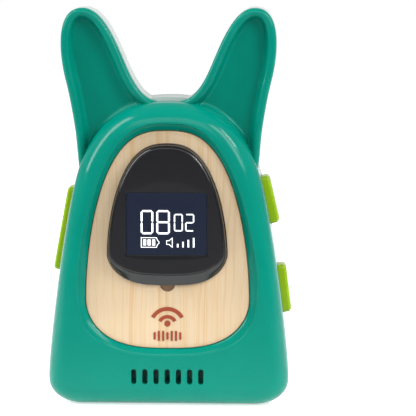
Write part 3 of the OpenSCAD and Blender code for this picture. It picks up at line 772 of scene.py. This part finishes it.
class WALKIE_OT_wood_plate(bpy.types.Operator):
    """Maple plate with softened edges, its microphone hole with gauze, and the printed mark"""
    bl_idname = "walkie.wood_plate"
    bl_label = "Wooden plate"

    def execute(self, context):
        colours, wood = context.scene.walkie_colours, face_of("wood_faceplate")
        count, soft = 320, 0.3
        outer, inner = from_centre(WOOD, count), from_centre(inset(BEZEL, 2.9), count)
        rings, depths = [inner, outer], [wood + 3, wood + 3]
        for a in np.linspace(0, np.pi / 2, 6):
            rings.append(inset(outer, soft * (1 - math.cos(a))))
            depths.append(wood + soft * (1 - math.sin(a)))
        rings += [inset(outer, 1.5), inset(inner, -1.0), inner]
        depths += [wood, wood, wood]
        obj = to_object("maple_plate", loft(rings, depths, wrap=True))
        # painted shade, partly scorch: weights that darken the wood at its outer edge and a little next to
        # the bezel
        burnish = obj.data.attributes.new("burnish", "FLOAT", "POINT")
        strength = np.repeat([0.3, 1, 1, 1, 1, 0.8, 0.7, 0.6, 0, 0, 0.3], count)
        burnish.data.foreach_set("value", strength.astype(np.float32))
        carve(obj, peg(0, MIC_HEIGHT, 2.3, wood - 1, wood + 4, 64), "DIFFERENCE")
        veneer = maple("maple_veneer", colours.wood, colours.wood_line, colours.wood_dark)
        finish_piece(crisp(obj), "casing", veneer, "maple", "wood_faceplate")
        gauze = to_object("mic_gauze", peg(0, MIC_HEIGHT, 2.28, wood + 0.9, wood + 1.5, 48))
        finish_piece(crisp(gauze), "casing", matt("gauze_cloth", (0.27, 0.16, 0.09), 0.0003), "mark_print")
        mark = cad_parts["emblem"]
        mark.data.materials.clear()
        mark.data.materials.append(matt("mark_ink", colours.mark, 0.0006, 0.5))
        return {"FINISHED"}


def bezel_shell(face, base, width, height, mid):
    """Bezel as one closed band: rim, wide chamfer, rounded edge, face, window step, boss behind.

    The chamfer climbs from the rim's outline to the face's outline, straight where it is wide and
    as a quarter ellipse where it is narrow. Each ring is sampled at the same angles, so the
    window's rectangle is one of them."""
    count = 480
    low, top = from_centre(BEZEL, count), from_centre(BEZEL_FACE, count)
    shoulder = inset(low, 0.28)
    rings = [low, low, inset(low, 0.08), shoulder]
    depths = [base, base - 0.95, base - 1.15, base - 1.25]
    depths = [np.full(count, d) for d in depths]
    narrow = np.clip((3.5 - np.linalg.norm(top - shoulder, axis=1)) / 2.2, 0, 1)
    narrow = narrow ** 2 * (3 - 2 * narrow)
    for t in (0.05, 0.12, 0.2, 0.3, 0.42, 0.55, 0.7, 0.82, 0.92):
        rings.append(shoulder * (1 - t) + top * t)
        climb = t * (1 - narrow) + math.sqrt(1 - (1 - t) ** 2) * narrow
        depths.append(base - 1.25 + (face + 1.6 - base) * climb)
    for a in np.linspace(0, np.pi / 2, 6)[1:]:
        rings.append(inset(top, 0.35 * math.sin(a) - 0.1))
        depths.append(face + 0.30 * (1 - math.sin(a)) * (1 - narrow))
    window = from_centre(round_rect(0, mid, width + 0.16, height + 0.16, 0.6), count)
    boss = from_centre(inset(BEZEL, 3.1), count)
    room = from_centre(round_rect(0, mid, 28, 21.4, 1), count)
    limit = np.linalg.norm(boss - CENTRE, axis=1) - 0.7
    reach = np.linalg.norm(room - CENTRE, axis=1)
    room = CENTRE + (room - CENTRE) * (np.minimum(reach, limit) / reach)[:, None]
    for t in (0.06, 0.3, 0.7):
        rings.append(inset(top, 0.25) * (1 - t) + window * t)
        depths.append(np.full(count, face))
    rings += [inset(window, -0.12), inset(window, -0.03), window, window, room, room, boss, boss]
    inner = (face, face + 0.03, face + 0.12, face + 1.2, face + 1.2, base + 3, base + 3, base)
    depths += [np.full(count, d) for d in inner]
    return skin(place(np.stack(rings), np.stack(depths)), wrap=True)


SEGMENTS = {"0": "abcdef", "2": "abged", "8": "abcdefg"}


def segment_digit(char, x, z, width, height, pen):
    """Seven-segment digit: each segment is a bar with pointed ends, a six-sided outline."""
    parts, w, h, k = [], width - pen, (height - pen) / 2, pen * 0.14
    ends = {"a": ((0, 2 * h), (w, 2 * h)), "b": ((w, 2 * h), (w, h)), "c": ((w, h), (w, 0)),
            "d": ((0, 0), (w, 0)), "e": ((0, h), (0, 0)), "f": ((0, 2 * h), (0, h)), "g": ((0, h), (w, h))}
    for name in SEGMENTS[char]:
        a, b = (np.array(p, float) for p in ends[name])
        along = (b - a) / np.linalg.norm(b - a)
        side = np.array([-along[1], along[0]]) * pen / 2
        a, b = a + along * k, b - along * k
        tip = along * pen / 2
        ring = np.array([a, a + tip + side, b - tip + side, b, b - tip - side, a + tip - side])
        parts.append(ring + [x + pen / 2, z + pen / 2])
    return parts


def outline_bars(points, pen):
    """Thin strokes along the edges of a closed polygon, as one quad for each edge."""
    points = [np.array(p, float) for p in points]
    bars = []
    for a, b in zip(points, points[1:] + points[:1]):
        along = (b - a) / np.linalg.norm(b - a) * pen / 2
        side = np.array([-along[1], along[0]])
        bars.append(np.array([a - along + side, b + along + side, b + along - side, a - along - side]))
    return bars


def rect(x, z, width, height):
    return np.array([(x, z + height), (x + width, z + height), (x + width, z), (x, z)], float)


def display_symbols():
    """Outlines of the lit symbols, x and z in mm from the display's lower left corner."""
    shapes = segment_digit("0", 4.0, 6.6, 3.8, 7.3, 0.56) + segment_digit("8", 8.7, 6.6, 4.1, 7.3, 0.56)
    shapes += segment_digit("0", 14.0, 7.5, 2.7, 5.3, 0.38) + segment_digit("2", 17.4, 7.5, 2.7, 5.3, 0.38)
    cell = [(4.15, 5.55), (8.75, 5.55), (9.05, 4.75), (9.5, 4.3), (9.5, 3.9), (9.05, 3.45),
            (8.75, 2.65), (4.15, 2.65)]
    shapes += outline_bars(cell, 0.2)
    shapes += [rect(4.72 + 1.36 * i, 3.2, 0.9, 1.8) for i in range(3)]
    horn = [(11.8, 4.65), (12.5, 4.65), (13.5, 5.5), (13.5, 2.7), (12.5, 3.55), (11.8, 3.55)]
    shapes += outline_bars(horn, 0.2)
    shapes += [rect(14.9 + 1.6 * i, 2.65, 0.46, 1.1 + 0.6 * i) for i in range(4)]
    return shapes


class WALKIE_OT_display(bpy.types.Operator):
    """Black bezel with its chamfer, the navy display pane and the lit symbols"""
    bl_idname = "walkie.display"
    bl_label = "Display"

    def execute(self, context):
        colours = context.scene.walkie_colours
        face, wood = face_of("screen_bezel"), face_of("wood_faceplate")
        low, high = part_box("screen_window")
        width, height = (high.x - low.x) / MM, (high.z - low.z) / MM
        mid = (high.z + low.z) / 2 / MM
        obj = to_object("black_bezel", bezel_shell(face, wood, width, height, mid))
        finish_piece(crisp(obj, 25), "casing", black_gloss("bezel_gloss", colours.black),
                     "black_bezel", "screen_bezel")
        sheet = prism(round_rect(0, mid, width, height, 0.55), face + 0.03, face + 1.2, 0.12)
        pane = to_object("display_pane", sheet)
        finish_piece(crisp(pane), "casing", display_glass("display_navy", colours.navy, 0.08),
                     "smoked_pane", "screen_window")
        corner = np.array([0.35 - width / 2, mid - height / 2 - 0.3])
        bars = [prism(ring + corner, face + 0.005, face + 0.035) for ring in display_symbols()]
        glyphs = to_object("display_symbols", merge(*bars))
        finish_piece(crisp(glyphs), "casing", lit("lit_white", colours.glyph, 0.55), "backlight")
        return {"FINISHED"}


def side_button(length, out):
    """Side button in its seat's own axes: rounded cap, holding flange and stem.

    The cap's outer face bows by a power of the distance along it."""
    cap, sides = round_box((-2.6, -3.7, -length / 2), (out, 4.7, length / 2), 1.15, 9)
    bow = 1 - 0.30 * np.abs(cap[:, 2] / (length / 2)) ** 2.4
    cap = (np.column_stack([np.where(cap[:, 0] > 0, cap[:, 0] * bow, cap[:, 0]), cap[:, 1:]]), sides)
    flange = round_box((-3.75, -4.7, -length / 2 - 1.2), (-2.75, 5.7, length / 2 + 1.2), 0.2, 3)
    a = np.linspace(0, 2 * np.pi, 32, endpoint=False)
    circle = np.stack([np.zeros(32), 1.6 * np.cos(a) - 2.5, 1.6 * np.sin(a)], -1)
    stem = skin(np.stack([circle + [-8.35, 0, 0], circle + [-3.6, 0, 0]]))
    return merge(cap, flange, stem)


class WALKIE_OT_side_buttons(bpy.types.Operator):
    """Lime side buttons and talk key with soft round edges"""
    bl_idname = "walkie.side_buttons"
    bl_label = "Side buttons"

    def execute(self, context):
        lime = moulded("lime_plastic", context.scene.walkie_colours.lime, 0.25, 0.25)
        for name, spot, side, length, out in (
                ("upper_button", UPPER_SEAT, 1, SHORT_BUTTON, 3.1),
                ("lower_button", LOWER_SEAT, 1, SHORT_BUTTON, 3.1),
                ("talk_key", TALK_SEAT, -1, TALK_LENGTH, 2.6)):
            obj = to_object(name + "_cap", seat(side_button(length, out), *spot, side))
            finish_piece(crisp(obj, 40), name, lime, "lime_buttons", name)
        return {"FINISHED"}


def softened(node, width):
    """Copy of a CAD node with its seams merged, flat faces joined and its edges bevelled."""
    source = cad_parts[node]
    obj = bpy.data.objects.new(node + "_soft", source.data.copy())
    bpy.context.scene.collection.objects.link(obj)
    weld = obj.modifiers.new("weld", "WELD")
    weld.merge_threshold = 0.00001
    flat = obj.modifiers.new("flat", "DECIMATE")
    flat.decimate_type, flat.angle_limit = "DISSOLVE", math.radians(1)
    bevel = obj.modifiers.new("bevel", "BEVEL")
    bevel.width, bevel.segments, bevel.limit_method = width, 3, "ANGLE"
    bevel.angle_limit = math.radians(30)
    apply_modifiers(obj)
    return crisp(obj, 40)


class WALKIE_OT_fittings(bpy.types.Operator):
    """Battery door, belt clip, bracket and power switch with softened edges"""
    bl_idname = "walkie.fittings"
    bl_label = "Fittings"

    def execute(self, context):
        white, lime = (bpy.data.materials[name] for name in ("white_plastic", "lime_plastic"))
        pieces = (("battery_door", "battery_door", white, "white_casing", 0.2),
                  ("belt_clip", "belt_clip", white, "white_casing", 0.35),
                  ("clip_bracket", "casing", white, "white_casing", 0.2),
                  ("power_switch_knob", "power_knob", lime, "lime_buttons", 0.2))
        for node, body, material, slot, width in pieces:
            finish_piece(softened(node, width * MM), body, material, slot, node)
        return {"FINISHED"}


class WALKIE_OT_inner_parts(bpy.types.Operator):
    """Finishes for the pieces inside the casing and for the fasteners"""
    bl_idname = "walkie.inner_parts"
    bl_label = "Inner parts"

    def execute(self, context):
        steel = metal("plated_steel", (0.62, 0.63, 0.65), 0.28)
        black = matt("moulded_black", (0.03, 0.03, 0.033))
        wrap = cell_wrap("cell_sleeve", (0.03, 0.045, 0.07), (0.75, 0.55, 0.2))
        finishes = {
            "lcd_panel": display_glass("lcd_glass", (0.05, 0.06, 0.09), 0.0),
            "lcd_backlight": matt("diffuser", (0.8, 0.82, 0.84), 0.002, 0.5),
            "lcd_connector": matt("contact_rubber", (0.06, 0.06, 0.065)),
            "main_board": board_mask("solder_mask", (0.01, 0.09, 0.03)),
            "radio_shield": metal("tinned_can", (0.6, 0.6, 0.6), 0.35, (1, 1, 0.1)),
            "board_chips": matt("chip_epoxy", (0.025, 0.025, 0.028), 0.0004),
            "microphone": metal("capsule_metal", (0.5, 0.5, 0.52), 0.4),
            "speaker_frame": matt("basket_paint", (0.05, 0.055, 0.06), 0.0006, 0.4),
            "speaker_cone": matt("cone_paper", (0.03, 0.03, 0.032), 0.0005, 0.8),
            "speaker_magnet": metal("magnet_plate", (0.45, 0.46, 0.47), 0.35),
            "tact_switches": black, "power_switch_body": black,
            "antenna_coil": metal("copper_wire", (0.75, 0.38, 0.16), 0.25),
            "left_cell": wrap, "middle_cell": wrap, "right_cell": wrap,
            "cell_springs": steel, "clip_spring": steel, "clip_pin": steel,
            "cell_plates": metal("contact_brass", (0.68, 0.55, 0.28), 0.3),
            "door_screw": steel, "bracket_screws": steel, "case_screws": steel, "board_screws": steel,
        }
        for node, material in finishes.items():
            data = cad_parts[node].data
            data.materials.clear()
            data.materials.append(material)
        return {"FINISHED"}


# ---------------------------------------------------------------- stage

def softbox(name, turn, tilt, distance, size, power):
    """Rectangular area light aimed at the object.

    It stands in the direction found by tilting the front axis by tilt towards the angle turn in
    the upright plane, and its long side runs round that axis."""
    middle = Vector((0, 0, 0.06))
    outwards = Vector((math.cos(turn), 0, math.sin(turn)))
    along = Vector((-math.sin(turn), 0, math.cos(turn)))
    towards = outwards * math.sin(tilt) + Vector((0, -math.cos(tilt), 0))
    data = bpy.data.lights.new(name, "AREA")
    data.shape, data.size, data.size_y, data.energy = "RECTANGLE", size[0], size[1], power
    obj = bpy.data.objects.new(name, data)
    obj.location = middle + towards * distance
    obj.rotation_euler = Matrix((along, towards.cross(along), towards)).transposed().to_euler()
    bpy.context.scene.collection.objects.link(obj)
    return obj


def surroundings(behind, front):
    """World that is brighter behind the object than in front of it, by the view's y."""
    world = bpy.data.worlds.new("pale_surroundings")
    world.use_nodes = True
    nodes, links = world.node_tree.nodes, world.node_tree.links
    kinds = ("TexCoord", "SeparateXYZ", "MapRange")
    towards, split, ramp = (nodes.new("ShaderNode" + kind) for kind in kinds)
    for socket, value in (("From Min", 0.86), ("From Max", 0.965), ("To Min", front), ("To Max", behind)):
        ramp.inputs[socket].default_value = value
    links.new(towards.outputs["Generated"], split.inputs[0])
    links.new(split.outputs[1], ramp.inputs["Value"])
    links.new(ramp.outputs[0], nodes["Background"].inputs[1])
    nodes["Background"].inputs[0].default_value = (1, 1, 1, 1)
    return world


class WALKIE_OT_stage(bpy.types.Operator):
    """Camera, soft studio lights, pale surroundings and floor"""
    bl_idname = "walkie.stage"
    bl_label = "Stage"

    def execute(self, context):
        scene, stage = context.scene, context.scene.walkie_stage
        scene.view_settings.view_transform = "Standard"
        target = Vector(stage.target)
        back = Vector((math.sin(stage.azimuth) * math.cos(stage.elevation),
                       -math.cos(stage.azimuth) * math.cos(stage.elevation), math.sin(stage.elevation)))
        data = bpy.data.cameras.new("camera")
        data.sensor_width = 36
        data.lens = 36 * stage.distance / stage.width
        camera = bpy.data.objects.new("camera", data)
        camera.location = target + back * stage.distance
        camera.rotation_euler = (-back).to_track_quat("-Z", "Y").to_euler()
        scene.collection.objects.link(camera)
        scene.camera = camera
        degree = math.radians(1)
        softbox("key_strip", 142 * degree, 78 * degree, 0.7, (0.65, 0.2), stage.key)
        softbox("rim_strip", 38 * degree, 76 * degree, 0.65, (0.2, 0.03), stage.rim)
        softbox("side_light", 38 * degree, 58 * degree, 0.65, (0.4, 0.2), stage.side)
        softbox("fill_light", 90 * degree, 32 * degree, 1.0, (0.7, 0.5), stage.fill)
        scene.world = surroundings(stage.sky, stage.front_sky)
        reach, level = 3000, -0.05
        corners = np.array([(-reach, -reach, level), (reach, -reach, level),
                            (reach, reach, level), (-reach, reach, level)])
        floor = to_object("floor", (corners, [[0, 1, 2, 3]]))
        # the floor's paper carries painted light: a glow behind the object and painted grey shade in front
        floor.data.materials.append(sweep_paper("sweep_paper", (0.94, 0.94, 0.94), 0.4, 0.6))
        return {"FINISHED"}


class WALKIE_PT_panel(bpy.types.Panel):
    """Lists the builders and their settings"""
    bl_label = "Toy walkie talkie"
    bl_idname = "WALKIE_PT_panel"
    bl_space_type = "VIEW_3D"
    bl_region_type = "UI"
    bl_category = "Walkie"

    def draw(self, context):
        for operator in OPERATORS:
            self.layout.operator(operator.bl_idname)
        for group in ("walkie_casing", "walkie_colours", "walkie_stage"):
            settings = getattr(context.scene, group)
            box = self.layout.box()
            for key in settings.__annotations__:
                box.prop(settings, key)


GROUPS = {"walkie_casing": CasingSettings, "walkie_colours": ColourSettings, "walkie_stage": StageSettings}
OPERATORS = (WALKIE_OT_front_casing, WALKIE_OT_rear_casing, WALKIE_OT_wood_plate, WALKIE_OT_display,
             WALKIE_OT_side_buttons, WALKIE_OT_fittings, WALKIE_OT_inner_parts, WALKIE_OT_stage)


def register():
    for name, group in GROUPS.items():
        bpy.utils.register_class(group)
        setattr(bpy.types.Scene, name, PointerProperty(type=group))
    for operator in OPERATORS:
        bpy.utils.register_class(operator)
    bpy.utils.register_class(WALKIE_PT_panel)


def unregister():
    bpy.utils.unregister_class(WALKIE_PT_panel)
    for operator in reversed(OPERATORS):
        bpy.utils.unregister_class(operator)
    for name, group in GROUPS.items():
        delattr(bpy.types.Scene, name)
        bpy.utils.unregister_class(group)


def main():
    register()
    for operator in OPERATORS:
        getattr(bpy.ops.walkie, operator.bl_idname.split(".")[1])()


if __name__ == "__main__":
    main()
